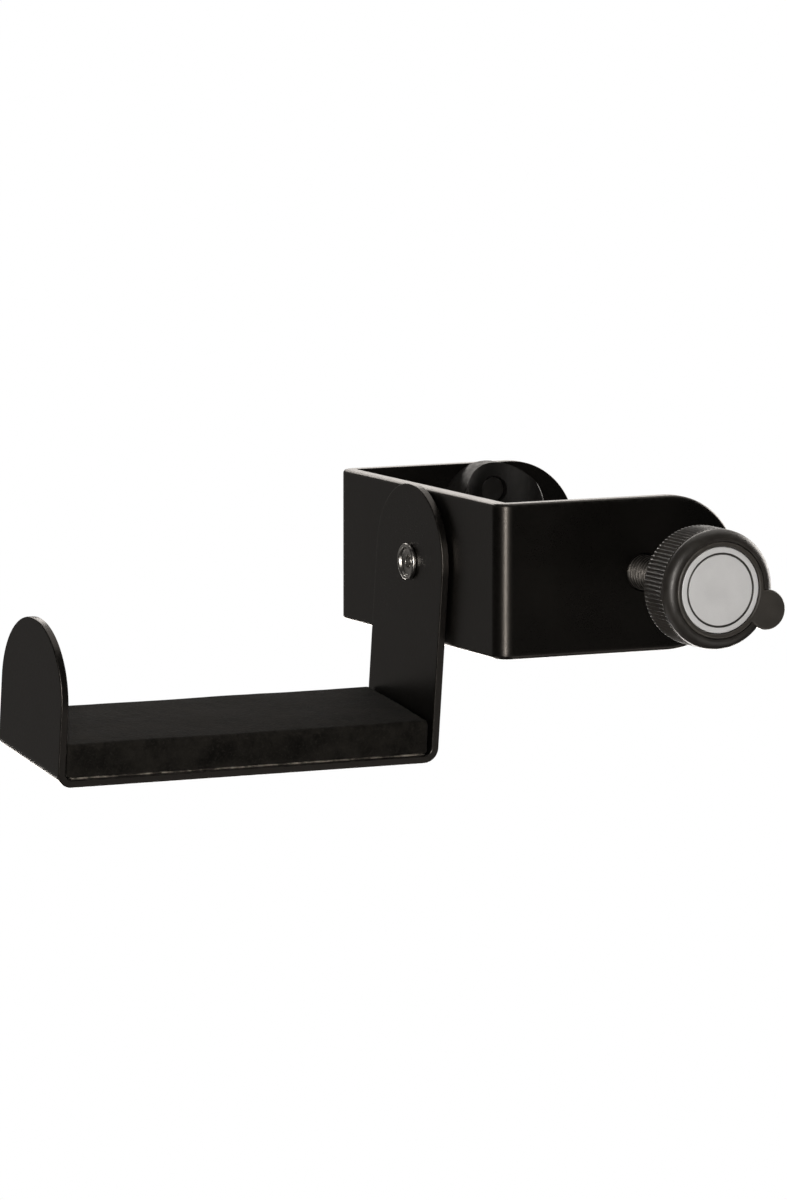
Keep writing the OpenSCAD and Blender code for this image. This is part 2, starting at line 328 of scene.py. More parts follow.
def bent_strip(corners, bend_r, half_w, thick, rims, place):
    """A bent strip with two full round ends. corners run along its mid line; place(u, v, w) puts a point.
    rims rounds the edges outside and inside the bends. The first and last rings have no width, so that
    welding closes them."""
    line = soften([(x, y, bend_r) for x, y in corners], closed=False, steps=10)
    heads = [(line[0] - line[1]).normalized(), (line[-1] - line[-2]).normalized()]
    centres = [line[0] - heads[0] * half_w, line[-1] - heads[1] * half_w]
    levels = []
    margin = 0.6              # a loop this far inside each rounded edge keeps the flat flat
    for rim, side in zip(rims, (1, -1)):
        half = [(rim + margin, side * thick / 2)]
        for k in range(6):
            a = math.pi / 2 * k / 5
            half.append((rim * (1 - math.sin(a)), side * (thick / 2 - rim * (1 - math.cos(a)))))
        levels += half[::side]
    mids = [centres[0]] + line[1:-1] + [centres[1]]
    tangents = []
    for i in range(len(mids)):
        if i in (0, len(mids) - 1):
            tangents.append(-heads[0] if i == 0 else heads[1])
        else:
            step_in = (mids[i] - mids[i - 1]).normalized()
            step_out = (mids[i + 1] - mids[i]).normalized()
            tangents.append((step_in + step_out).normalized())
    sweep = 28                # steps over a quarter of each round end
    stations = [(centres[0], -heads[0], -math.pi / 2 * (1 - k / sweep)) for k in range(sweep)]
    stations += [(m, t, 0.0) for m, t in zip(mids, tangents)]
    stations += [(centres[1], heads[1], math.pi / 2 * (k + 1) / sweep) for k in range(sweep)]
    rings = []
    for centre, tangent, turn in stations:
        side = Vector((-tangent.y, tangent.x))
        upper, lower = [], []
        for inset, height in levels:
            reach = half_w - inset
            spot = centre + tangent * reach * math.sin(turn) + side * height
            width = max(0.0, reach * math.cos(turn))
            upper.append(place(spot.x, spot.y, width))
            lower.append(place(spot.x, spot.y, -width))
        rings.append(upper + lower[::-1])
    return to_mesh(skin(rings, capped=False))


def threaded_rod(low, high, tip_low, tip_high, turns=40):
    """A right-hand thread between two heights on the screw's axis, with coned tips."""
    # The thread's form: how far along the pitch, and how high between root and crest
    section = [(0.0, 0.0), (0.22, 0.0), (0.52, 0.86), (0.56, 1.0), (0.66, 1.0), (0.70, 0.86)]
    cone = 1.1                # slope of the coned tips
    crest_r = screw_r - 0.03
    count = int(((high - low) / thread_pitch + 2) * turns)

    def spot(i, j):
        turn, depth = section[j]
        height = low - thread_pitch + thread_pitch * (i / turns + turn)
        radius = thread_root_r + (crest_r - thread_root_r) * depth
        radius = min(radius, tip_low + max(0, height - low) * cone, tip_high + max(0, high - height) * cone)
        angle = 2 * math.pi * i / turns
        height = min(max(height, low), high)
        return ON_SCREW @ Vector((radius * math.cos(angle), radius * math.sin(angle), height))

    shape = bmesh.new()
    made = [[shape.verts.new(spot(i, j)) for j in range(len(section))] for i in range(count)]
    for i in range(count - 1):
        for j in range(len(section)):
            if j + 1 < len(section):
                far = (made[i][j + 1], made[i + 1][j + 1])
            elif i + 1 + turns < count:
                far = (made[i + turns][0], made[i + turns + 1][0])
            else:
                continue
            shape.faces.new((made[i][j], made[i + 1][j], far[1], far[0]))
    bmesh.ops.remove_doubles(shape, verts=shape.verts, dist=1e-4)
    bmesh.ops.holes_fill(shape, edges=shape.edges, sides=0)
    return to_mesh(shape)


def hexagon(across_flats):
    radius = across_flats / math.sqrt(3)
    return [Vector((radius * math.cos(math.radians(60 * i)), radius * math.sin(math.radians(60 * i))))
            for i in range(6)]


def hex_bar(across_flats, low, high, chamfer_low=True, chamfer_high=True):
    """A hexagonal bar whose corners are turned off at its ends."""
    half = across_flats / 2
    face_r, cone_r, whole_r = half - 0.1, half + 1.3, half + 3
    drop, corner_r = 0.75, 0.4
    profile = [(0, low), (face_r if chamfer_low else whole_r, low)]
    profile += [(cone_r if chamfer_low else whole_r, low + drop)]
    profile += [(cone_r if chamfer_high else whole_r, high - drop)]
    profile += [(face_r if chamfer_high else whole_r, high), (0, high)]
    corners = soften([(p.x, p.y, corner_r) for p in hexagon(across_flats)], steps=3)
    return common(slab(corners, low - 1, high + 1, steps=1), lathe(profile, turns=72))


def mark_edges(mesh):
    """Stores how sharply each point is rounded outwards, from 0 on a flat to 1 on an edge, as "edge"."""
    shape = bmesh.new()
    shape.from_mesh(mesh)
    shape.verts.ensure_lookup_table()
    values = [0.0] * len(shape.verts)
    least, most = 0.1, 1.0    # radians; a sharper bend is a corner that isn't rounded
    for edge in shape.edges:
        if len(edge.link_faces) != 2:
            continue
        bend = edge.calc_face_angle_signed(0)
        if least < bend < most:
            width = sum(face.calc_area() / max(edge.calc_length(), 1e-6) for face in edge.link_faces) / 2
            sharp = min(1.0, bend / max(width, 1e-6) / 2)
            for vert in edge.verts:
                values[vert.index] = max(values[vert.index], sharp)
    shape.free()
    layer = mesh.attributes.new("edge", "FLOAT", "POINT")
    layer.data.foreach_set("value", values)


def piece(name, mesh, node, finish, sharp=32):
    """Puts a finished mesh into the scene as the visible piece for one CAD node."""
    mark_edges(mesh)
    mesh.transform(Matrix.Scale(MM, 4))
    mesh.materials.clear()
    mesh.materials.append(finish)
    mesh.polygons.foreach_set("material_index", [0] * len(mesh.polygons))
    mesh.shade_smooth()
    mesh.set_sharp_from_angle(angle=math.radians(sharp))
    mesh.name = name
    thing = bpy.data.objects.new(name, mesh)
    bpy.context.scene.collection.objects.link(thing)
    normals = thing.modifiers.new("normals", "WEIGHTED_NORMAL")
    normals.keep_sharp = True
    normals.weight = 50
    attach(thing, frame["nodes"][node]["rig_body"])
    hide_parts(node)
    return thing


# ---------------------------------------------------------------- materials
class Finish:
    """A procedural material: a Principled shader whose inputs are fed from object-space textures."""

    def __init__(self, name, roughness=0.5, **constants):
        self.material = bpy.data.materials.new(name)
        self.material.use_nodes = True
        self.tree = self.material.node_tree
        self.shader = self.tree.nodes["Principled BSDF"]
        self.shader.inputs["Roughness"].default_value = roughness
        for socket, value in constants.items():
            self.shader.inputs[socket.replace("_", " ")].default_value = value
        self.place = self.add("ShaderNodeTexCoord").outputs["Object"]
        self.height = None

    def add(self, kind, **settings):
        node = self.tree.nodes.new(kind)
        for key, value in settings.items():
            setattr(node, key, value)
        return node

    def feed(self, socket, value):
        """Links an output to a socket, or sets the socket's own value."""
        if isinstance(value, bpy.types.NodeSocket):
            self.tree.links.new(value, socket)
        else:
            socket.default_value = value

    def noise(self, size, detail=2.0, rough=0.5, stretch=(1, 1, 1)):
        """Noise whose features are about size mm across."""
        node = self.add("ShaderNodeTexNoise")
        spread = self.add("ShaderNodeMapping")
        spread.inputs["Scale"].default_value = stretch
        self.feed(spread.inputs["Vector"], self.place)
        self.feed(node.inputs["Vector"], spread.outputs[0])
        node.inputs["Scale"].default_value = 1 / (size * MM)
        node.inputs["Detail"].default_value = detail
        node.inputs["Roughness"].default_value = rough
        return node.outputs["Fac"]

    def cells(self, size):
        """Voronoi cells about size mm across: distance from the nearest centre, and the cell's colour."""
        node = self.add("ShaderNodeTexVoronoi")
        self.feed(node.inputs["Vector"], self.place)
        node.inputs["Scale"].default_value = 1 / (size * MM)
        return node.outputs["Distance"], node.outputs["Color"]

    def edge(self):
        return self.add("ShaderNodeAttribute", attribute_name="edge").outputs["Fac"]

    def remap(self, value, low, high, to_low=0.0, to_high=1.0, smooth=False):
        node = self.add("ShaderNodeMapRange")
        if smooth:
            node.interpolation_type = "SMOOTHSTEP"
        for socket, amount in zip(node.inputs[:5], (value, low, high, to_low, to_high)):
            self.feed(socket, amount)
        return node.outputs[0]

    def calc(self, operation, a, b=0.0):
        node = self.add("ShaderNodeMath", operation=operation)
        self.feed(node.inputs[0], a)
        self.feed(node.inputs[1], b)
        return node.outputs[0]

    def mix(self, factor, a, b):
        node = self.add("ShaderNodeMix", data_type="RGBA")
        self.feed(node.inputs[0], factor)
        for socket, value in ((node.inputs[6], a), (node.inputs[7], b)):
            self.feed(socket, value if isinstance(value, bpy.types.NodeSocket) else (*value, 1))
        return node.outputs[2]

    def colour(self, value):
        self.feed(self.shader.inputs["Base Color"], value)

    def rough(self, value, low, high, to_low, to_high):
        self.feed(self.shader.inputs["Roughness"], self.remap(value, low, high, to_low, to_high))

    def bump(self, height, depth):
        """Adds relief of the given depth in mm."""
        node = self.add("ShaderNodeBump")
        node.inputs["Strength"].default_value = 1.0
        node.inputs["Distance"].default_value = depth * MM
        self.feed(node.inputs["Height"], height)
        if self.height is not None:
            self.feed(node.inputs["Normal"], self.height)
        self.height = node.outputs[0]
        self.feed(self.shader.inputs["Normal"], self.height)

    def axis_radius(self):
        """Distance from the screw's axis in mm."""
        parts = self.add("ShaderNodeSeparateXYZ")
        self.feed(parts.inputs[0], self.place)
        squares = [self.calc("POWER", parts.outputs[i], 2.0) for i in (0, 2)]
        return self.calc("MULTIPLY", self.calc("SQRT", self.calc("ADD", *squares)), 1 / MM)


def powder_coat(name):
    """Fine-textured black powder coat with a few pale dust specks, and edges lightened partly as wear and
    partly as a painted highlight.
    """
    f = Finish(name, roughness=0.3, Specular_IOR_Level=0.5, Specular_Tint=(1.0, 0.93, 0.86, 1))
    grain = f.noise(0.28, 3.0, 0.65)
    cloud = f.noise(14, 2.0)
    base = f.mix(f.remap(cloud, 0.3, 0.7), (0.0014, 0.0013, 0.0012), (0.0021, 0.0019, 0.0017))
    base = f.mix(f.remap(grain, 0.55, 0.75), base, (0.006, 0.0055, 0.0049))
    # edges lightened partly as wear and partly as a painted highlight along the rounded rims
    wear_and_highlight = f.calc("MULTIPLY", f.edge(), f.remap(f.noise(0.8, 3.0, 0.6), 0.4, 0.7))
    base = f.mix(f.calc("MULTIPLY", wear_and_highlight, 0.25), base, (0.07, 0.066, 0.061))
    distance, tint = f.cells(9)
    speck = f.calc("MULTIPLY", f.remap(distance, 0.020, 0.034, 1.0, 0.0), f.remap(tint, 0.80, 0.82))
    base = f.mix(speck, base, (0.42, 0.39, 0.35))
    f.colour(base)
    f.rough(f.calc("ADD", grain, f.calc("MULTIPLY", cloud, 0.5)), 0.55, 0.95, 0.27, 0.35)
    f.bump(grain, 0.009)
    f.bump(f.noise(0.9, 1.0), 0.012)
    return f.material


def moulded(name, dark, light, roughness=(0.36, 0.5), grain=0.35, depth=0.012, edge_tint=0.25, gloss=0.5):
    """Moulded plastic with a fine spark-eroded grain, handled edges and faint mottling."""
    f = Finish(name, roughness=roughness[0], Specular_IOR_Level=gloss)
    fine = f.noise(grain, 2.0, 0.6)
    base = f.mix(f.remap(f.noise(6, 3.0), 0.3, 0.7), dark, light)
    rubbed = f.calc("MULTIPLY", f.edge(), f.remap(f.noise(1.6, 2.0), 0.35, 0.65))
    pale = tuple(min(1.0, 3.2 * c + 0.01) for c in light)
    base = f.mix(f.calc("MULTIPLY", rubbed, edge_tint), base, pale)
    f.colour(base)
    f.rough(f.noise(1.3, 3.0), 0.3, 0.7, *roughness)
    f.bump(fine, depth)
    return f.material


def plated(name, dark, light, roughness=(0.24, 0.42)):
    """Zinc or nickel plate over turned or stamped steel: fine cloudy crystals and handling marks."""
    f = Finish(name, roughness=roughness[0], Metallic=1.0)
    cloud = f.noise(1.1, 3.0, 0.6)
    f.colour(f.mix(f.remap(cloud, 0.3, 0.7), dark, light))
    f.rough(f.noise(0.6, 3.0), 0.3, 0.7, *roughness)
    f.bump(f.noise(0.22, 2.0), 0.004)
    f.bump(f.noise(0.5, 1.0, 0.5, (1, 12, 1)), 0.003)
    return f.material


def black_oxide(name):
    """Blackened screw steel whose crests are rubbed bright where the nut has run over them."""
    f = Finish(name, roughness=0.34, Metallic=0.8)
    crest = f.remap(f.axis_radius(), screw_r - 0.22, screw_r - 0.03, smooth=True)
    rub = f.calc("MULTIPLY", crest, f.remap(f.noise(1.4, 3.0, 0.6), 0.3, 0.62))
    base = f.mix(f.remap(f.noise(1.8, 3.0), 0.3, 0.7), (0.010, 0.009, 0.008), (0.022, 0.020, 0.0175))
    f.colour(f.mix(rub, base, (0.10, 0.095, 0.088)))
    f.rough(f.noise(0.7, 2.0), 0.3, 0.7, 0.32, 0.5)
    f.bump(f.noise(0.25, 2.0), 0.006)
    return f.material


def foam(name):
    """Dense closed-cell foam with a matt skin, small pores and scuffed patches."""
    f = Finish(name, roughness=0.9, Specular_IOR_Level=0.06, Sheen_Weight=0.02, Sheen_Roughness=0.5)
    patch = f.noise(7, 5.0, 0.68)
    fine = f.noise(0.55, 3.0, 0.7)
    base = f.mix(f.remap(patch, 0.35, 0.68), (0.0036, 0.0034, 0.0029), (0.0165, 0.0153, 0.0132))
    base = f.mix(f.remap(fine, 0.52, 0.72), base, (0.017, 0.0157, 0.0138))
    scuff = f.calc("MULTIPLY", f.edge(), f.remap(f.noise(3.0, 3.0, 0.6), 0.4, 0.7))
    f.colour(f.mix(f.calc("MULTIPLY", scuff, 0.4), base, (0.045, 0.041, 0.036)))
    f.rough(patch, 0.35, 0.7, 0.86, 1.0)
    distance, _ = f.cells(0.75)
    f.bump(distance, 0.05)
    f.bump(fine, 0.07)
    f.bump(f.noise(3.5, 2.0), 0.12)
    return f.material


def rubber(name):
    """Ground rubber: matt, with a fine abraded grain."""
    f = Finish(name, roughness=0.75, Specular_IOR_Level=0.4)
    fine = f.noise(0.4, 3.0, 0.7)
    base = f.mix(f.remap(f.noise(5, 3.0), 0.3, 0.7), (0.020, 0.019, 0.018), (0.034, 0.032, 0.030))
    f.colour(f.mix(f.remap(fine, 0.55, 0.75), base, (0.055, 0.052, 0.049)))
    f.rough(fine, 0.3, 0.7, 0.66, 0.86)
    f.bump(fine, 0.04)
    return f.material


def dried_glue(name):
    """Contact adhesive: yellowish, half clear and uneven."""
    f = Finish(name, roughness=0.4, Transmission_Weight=0.15)
    patch = f.noise(2.6, 3.0, 0.6)
    f.colour(f.mix(f.remap(patch, 0.42, 0.66), (0.035, 0.031, 0.026), (0.36, 0.33, 0.28)))
    f.rough(patch, 0.3, 0.7, 0.3, 0.6)
    f.bump(f.noise(0.8, 2.0), 0.08)
    return f.material


def nylon(name):
    """Natural nylon, slightly cloudy, with turning marks."""
    f = Finish(name, roughness=0.5, Subsurface_Weight=0.1)
    f.shader.inputs["Subsurface Radius"].default_value = (0.0008, 0.0007, 0.0005)
    f.colour(f.mix(f.remap(f.noise(3, 3.0), 0.3, 0.7), (0.58, 0.54, 0.46), (0.68, 0.65, 0.57)))
    f.rough(f.noise(1.0, 2.0), 0.3, 0.7, 0.42, 0.6)
    f.bump(f.noise(0.4, 2.0), 0.01)
    return f.material


def disc_paint(name):
    """Pale grey lacquer with very fine metal flake, and the ring groove painted dark as painted shade."""
    f = Finish(name, roughness=0.42, Coat_Weight=0.15, Coat_Roughness=0.3)
    flake = f.noise(0.16, 2.0, 0.7)
    base = f.mix(f.remap(f.noise(5, 3.0), 0.3, 0.7), (0.62, 0.635, 0.65), (0.68, 0.695, 0.71))
    base = f.mix(f.remap(flake, 0.5, 0.8), base, (0.75, 0.765, 0.78))
    # painted shade: the band over the ring groove is coloured near black, standing in for the shade inside
    # the groove
    middle = f.calc("ABSOLUTE", f.calc("SUBTRACT", f.axis_radius(), disc_r - ring_inset - ring_w / 2))
    f.colour(f.mix(f.remap(middle, ring_w / 2, ring_w / 2 + 0.08), (0.035, 0.034, 0.032), base))
    f.rough(flake, 0.3, 0.7, 0.36, 0.5)
    f.bump(flake, 0.006)
    return f.material


# ---------------------------------------------------------------- bracket and its fittings
def make_bracket():
    mid = bracket_t / 2
    front_y, back_y = bracket_low.y + mid, bracket_high.y - mid
    web_x, tip_x = bracket_low.x + mid, bracket_high.x
    strip = bent_strip(
        [(tip_x, front_y), (web_x, front_y), (web_x, back_y), (tip_x, back_y)],
        bend_in + mid, jaw_r, bracket_t, (outer_edge_r, inner_edge_r),
        lambda u, v, w: Vector((u, v, w + jaw_z)))
    screw_hole = drill(screw_hole_r, bracket_low.y, bracket_low.y + bracket_t, ON_SCREW, 0.1)
    pivot_hole = drill(pivot_hole_r, bracket_low.x, bracket_low.x + bracket_t, ON_PIVOT)
    rivet_holes = [drill(saddle_rivet_r, bracket_high.y - bracket_t, bracket_high.y, axes)
                   for axes in saddle_rivet_axes()]
    mesh = carve(strip, screw_hole, pivot_hole, *rivet_holes)
    return piece("bracket_shell", mesh, "bracket", coat_clamp)


def saddle_rivet_axes():
    return [Matrix.Translation((0, 0, z)) @ ON_SCREW for z in (-saddle_rivet_z, saddle_rivet_z)]


def make_saddle():
    half_w, half_h = saddle_high.x, saddle_high.z
    upper = arc((0, half_h - half_w), half_w, 0, 180, 24)
    lower = arc((0, half_w - half_h), half_w, 180, 360, 24)
    block = slab(soften(upper + lower, steps=1), saddle_low.y, saddle_high.y, 0.5, 0.2)
    far = 30                  # well past the saddle's ends
    seat = lathe([(0, -far), (tube_r, -far), (tube_r, far), (0, far)], Matrix.Identity(4), 128)
    bore = [(0, 0), (counterbore_r, 0), (counterbore_r, counterbore_y), (saddle_rivet_r, counterbore_y),
            (saddle_rivet_r, far), (0, far)]
    bores = [lathe(bore, axes, 48) for axes in saddle_rivet_axes()]
    mesh = carve(block, seat, *bores)
    shape = bmesh.new()
    shape.from_mesh(mesh)
    corner, chamfer_w = math.radians(38), 0.35
    rims = [e for e in shape.edges if len(e.link_faces) == 2 and e.calc_face_angle(0) > corner
            and all(v.co.xy.length < tube_r + 0.2 for v in e.verts)]
    bmesh.ops.bevel(shape, geom=rims, offset=chamfer_w, segments=2, affect="EDGES", profile=0.5,
                    clamp_overlap=True)
    shape.to_mesh(mesh)
    shape.free()
    return piece("tube_saddle", mesh, "saddle", black_plastic)


def make_saddle_rivets():
    """Two rivets, each with a low dome outside the back arm and a flat head in the saddle's counterbore."""
    back_y, floor_y = bracket_high.y, counterbore_y
    shank_r, head_r, head_h = 1.6, 2.95, 1.2
    dome_r, dome_h = 3.0, 1.2
    ball = (dome_r ** 2 + dome_h ** 2) / (2 * dome_h)
    cap = arc((0, 0), ball, 0, math.degrees(math.asin(dome_r / ball)), 10)
    dome = [(p.y, back_y + p.x - (ball - dome_h)) for p in reversed(cap)]
    body = soften([(shank_r, floor_y + 0.01), (head_r, floor_y, 0.25), (head_r, floor_y - head_h, 0.4),
                   (0, floor_y - head_h)], closed=False)
    outline = [(p.x, p.y) for p in reversed(body)] + [(shank_r, back_y + 0.02)] + dome
    outline[-1] = (0, outline[-1][1])
    solids = [lathe(outline, axes, 64) for axes in saddle_rivet_axes()]
    return piece("saddle_rivet_pair", merged(*solids), "saddle_rivets", painted_rivet)


def make_weld_nut():
    low, high = box_mm("weld_nut")
    nut = hex_bar(hex_af, low.y, high.y)
    bore = drill(screw_r + 0.05, low.y, high.y, ON_SCREW, 0.15)
    return piece("weld_nut_hex", carve(nut, bore), "weld_nut", coat_clamp)


def make_pivot_rivet():
    """A tubular rivet along the pivot: a dished head with a rolled rim, and a clinched tail."""
    low, high = box_mm("pivot_rivet")
    head_t, rim_in_r, dish_r, dish_depth = 1.0, 3.3, 2.9, 0.75
    tail_t, tail_r, curl_r, mouth_r = 1.1, 3.58, 2.6, 1.7
    head = [(rivet_shank_r, low.x + head_t), (rivet_head_r, low.x + head_t, 0.3),
            (rivet_head_r, low.x, 0.5), (rim_in_r, low.x, 0.4), (dish_r, low.x + dish_depth, 0.4),
            (rivet_bore_r, low.x + dish_depth + 0.1, 0.2), (rivet_bore_r, low.x + rivet_bore_depth, 0.25),
            (0, low.x + rivet_bore_depth)]
    tail = [(rivet_shank_r, high.x - tail_t), (tail_r, high.x - tail_t, 0.3),
            (tail_r - 0.08, high.x - 0.3, 0.4), (curl_r, high.x, 0.5), (mouth_r, high.x - 0.5, 0.3),
            (rivet_bore_r, high.x - rivet_bore_depth, 0.2), (0, high.x - rivet_bore_depth)]
    outline = soften(list(reversed(head)), closed=False, steps=4) + soften(tail, closed=False, steps=4)
    rivet = lathe([(p.x, p.y) for p in outline], ON_PIVOT, 72)
    return piece("pivot_rivet_turned", rivet, "pivot_rivet", nickel)


def make_friction_disc():
    low, high = box_mm("friction_disc")
    edge_r = 0.12
    section = soften([(pivot_hole_r, low.x), (high.z, low.x, edge_r), (high.z, high.x, edge_r),
                      (pivot_hole_r, high.x)])
    disc = lathe([(p.x, p.y) for p in section], ON_PIVOT, 96, ring=True)
    return piece("friction_disc_ring", disc, "friction_disc", natural_nylon)


def make_wave_washer():
    """A spring washer that rises and falls three times round the pivot."""
    low, high = box_mm("wave_washer")
    middle, half_t, edge_r = (low.x + high.x) / 2, 0.15, 0.08
    swing = (high.x - low.x) / 2 - half_t
    section = soften([(r, y, edge_r) for r, y in ((washer_bore_r, -half_t), (high.z, -half_t),
                                                  (high.z, half_t), (washer_bore_r, half_t))], steps=2)
    rings = []
    count, waves = 96, 3
    for i in range(count):
        angle = 2 * math.pi * i / count
        wave = swing * math.cos(waves * angle)
        rings.append([ON_PIVOT @ Vector((p.x * math.cos(angle), p.x * math.sin(angle), middle + wave + p.y))
                      for p in section])
    washer = to_mesh(skin(rings, loop=True))
    return piece("wave_washer_spring", washer, "wave_washer", spring)


def make_flat_washer():
    low, high = box_mm("flat_washer")
    section = soften([(washer_bore_r, low.x, 0.1), (high.z, low.x, 0.2), (high.z, high.x, 0.2),
                      (washer_bore_r, high.x, 0.1)])
    washer = lathe([(p.x, p.y) for p in section], ON_PIVOT, 80, ring=True)
    return piece("flat_washer_ring", washer, "flat_washer", zinc)


# ---------------------------------------------------------------- hook
def make_hook():
    mid = hook_t / 2
    strap_x, tab_x, tray_z = strap_in_x - mid, tab_out_x + mid, -tray_drop + mid
    strip = bent_strip(
        [(strap_x, hook_top), (strap_x, tray_z), (tab_x, tray_z), (tab_x, tab_h - tray_drop)],
        hook_bend_in + mid, hook_w / 2, hook_t, (hook_edge_r, hook_edge_r),
        lambda u, v, w: ON_HOOK @ Vector((u, w, v)))
    hole = drill(pivot_hole_r, strap_in_x - hook_t, strap_in_x, ON_PIVOT)
    return piece("hook_strip_bent", carve(strip, hole), "hook_strip", coat_hook)


def pad_span():
    return tab_out_x + hook_t + pad_end_gap, strap_in_x - hook_t - pad_end_gap


def make_pad():
    """A foam pad cut from sheet: flat below, softly rounded and slightly crowned above."""
    x0, x1 = pad_span()
    half, low, high = pad_w / 2, glue_t - tray_drop + hook_t, glue_t - tray_drop + hook_t + pad_t
    section = soften([(-half, low, 0.35), (half, low, 0.35), (half - 0.15, high, pad_edge_r),
                      (0.15 - half, high, pad_edge_r)], steps=8)
    dense = []
    for i, here in enumerate(section):
        ahead = section[(i + 1) % len(section)]
        parts = max(1, round((ahead - here).length / 1.1))
        dense += [here.lerp(ahead, k / parts) for k in range(parts)]
    count, rim = 80, 0.9
    levels = [(rim * (1 - math.sin(a)), x0 + rim * (1 - math.cos(a))) for a in (0, 0.4, 0.8, 1.2)]
    levels += [(0, x0 + rim + (x1 - x0 - 2 * rim) * i / count) for i in range(count + 1)]
    levels += [(rim * (1 - math.sin(a)), x1 - rim * (1 - math.cos(a))) for a in (1.2, 0.8, 0.4, 0)]
    crown, wave_h, dent = 0.28, 0.16, 0.10
    rings = []
    for inset, x in levels:
        ring = []
        for p in inset_outline(dense, inset) if inset else dense:
            lift = (p.y - low) / pad_t
            sag = crown * (p.x / half) ** 2 * lift
            wave = wave_h * (noise.noise(Vector((x * 0.05, p.x * 0.09, 3.1))) - 0.5) * lift
            soft = dent * noise.noise(Vector((x * 0.22, p.x * 0.3, p.y * 0.4)))
            out = Vector((p.x, p.y - (low + high) / 2)).normalized()
            q = p + out * min(0.0, soft) * min(1, lift * 2)
            ring.append(ON_HOOK @ Vector((x, q.x, min(high, q.y - sag + wave))))
        rings.append(ring)
    pad = piece("tray_pad_foam", to_mesh(skin(rings)), "tray_pad", pad_foam, sharp=50)
    return pad


def make_glue():
    """The glue film under the pad, with a thin uneven bead squeezed out round the pad's foot."""
    x0, x1 = pad_span()
    x0, x1 = x0 + 1.3, x1 - 1.3
    half, low = pad_w / 2, hook_t - tray_drop
    outline = []
    corners = [Vector(p) for p in ((x0, -half), (x1, -half), (x1, half), (x0, half))]
    for start, end in zip(corners, corners[1:] + corners[:1]):
        parts = max(2, round((end - start).length / 0.8))
        outline += [start.lerp(end, i / parts) for i in range(parts)]
    film = slab(outline, low + 0.01, low + glue_t, 0.05, 0.05, ON_HOOK, 1)
    sides, least_r, mean_r = 8, 0.05, 0.19
    rings = []
    for i, here in enumerate(outline):
        ahead = (outline[(i + 1) % len(outline)] - outline[i - 1]).normalized()
        side = Vector((ahead.y, -ahead.x))
        swell = mean_r + 0.13 * noise.noise(Vector((here.x * 0.35, here.y * 0.35, 0)))
        swell += 0.10 * noise.noise(Vector((here.x * 1.1, here.y * 1.1, 5)))
        swell = max(least_r, swell)
        shift = 0.1 * noise.noise(Vector((here.x * 0.5, here.y * 0.5, 9)))
        ring = []
        for k in range(sides):
            a = 2 * math.pi * k / sides
            spot = here + side * (0.06 + shift + swell * math.cos(a))
            ring.append(ON_HOOK @ Vector((spot.x, spot.y, low + glue_t * 0.5 + swell * 0.9 * math.sin(a))))
        rings.append(ring)
    bead = to_mesh(skin(rings, loop=True))
    return piece("pad_glue_bead", merged(film, bead), "pad_glue", glue, sharp=60)


# ---------------------------------------------------------------- foot and screw
def make_foot():
    """The foot's cup, open towards the tube, and the rubber disc that closes it, with a moulded groove."""
    low, high = box_mm("foot_plate")
    floor_y = low.y + cup_floor_t
    profile = soften([(journal_hole_r, low.y, 0.2), (high.x, low.y, 1.1), (high.x, high.y, 0.3),
                      (cup_bore_r, high.y, 0.2), (cup_bore_r, floor_y), (journal_hole_r, floor_y)])
    cup = lathe([(p.x, p.y) for p in profile], turns=96, ring=True)
    piece("foot_cup", cup, "foot_plate", black_plastic)
    low, high = box_mm("foot_pad")
    groove_out_r, groove_in_r, groove_slope, groove_y = 7.2, 5.9, 0.3, high.y - 0.35
    profile = soften([(0, low.y), (high.x - 0.1, low.y, 0.15), (high.x, high.y, 0.5),
                      (groove_out_r, high.y, 0.2), (groove_out_r - groove_slope, groove_y, 0.15),
                      (groove_in_r + groove_slope, groove_y, 0.15), (groove_in_r, high.y, 0.2),
                      (0, high.y)], closed=False)
    face = lathe([(p.x, p.y) for p in profile], turns=96)
    piece("foot_face", face, "foot_pad", foot_rubber)


def make_screw():
    """Hexagon head, thread and the grooved journal that carries the foot, as closed solids in one mesh."""
    low, high = box_mm("clamp_screw")
    head_end, shoulder = low.y + screw_head_h, box_mm("foot_plate")[0].y - 0.1
    head_tip_r, foot_tip_r, overlap = 3.2, 3.1, 1
    head = hex_bar(hex_af, low.y, head_end, chamfer_high=False)
    thread = threaded_rod(head_end - 0.3, shoulder, head_tip_r, foot_tip_r)
    journal = soften([(0, shoulder - overlap), (journal_r, shoulder - overlap), (journal_r, ring_low.y),
                      (ring_groove_r, ring_low.y), (ring_groove_r, ring_high.y), (journal_r, ring_high.y),
                      (journal_r, high.y, 0.4), (0, high.y)], closed=False)
    mesh = merged(head, thread, lathe([(p.x, p.y) for p in journal], turns=48))
    return piece("clamp_screw_threaded", mesh, "clamp_screw", oxide, sharp=40)


def make_retaining_ring():
    mouth, outer_r, inner_r = 50, 4.3, ring_groove_r + 0.05
    outer = arc((0, 0), outer_r, mouth, 360 - mouth, 36)
    inner = arc((0, 0), inner_r, 360 - mouth, mouth, 24)
    clip = slab(outer + inner, ring_low.y, ring_high.y, 0.08, 0.08, steps=2)
    return piece("retaining_ring_clip", clip, "retaining_ring", spring)


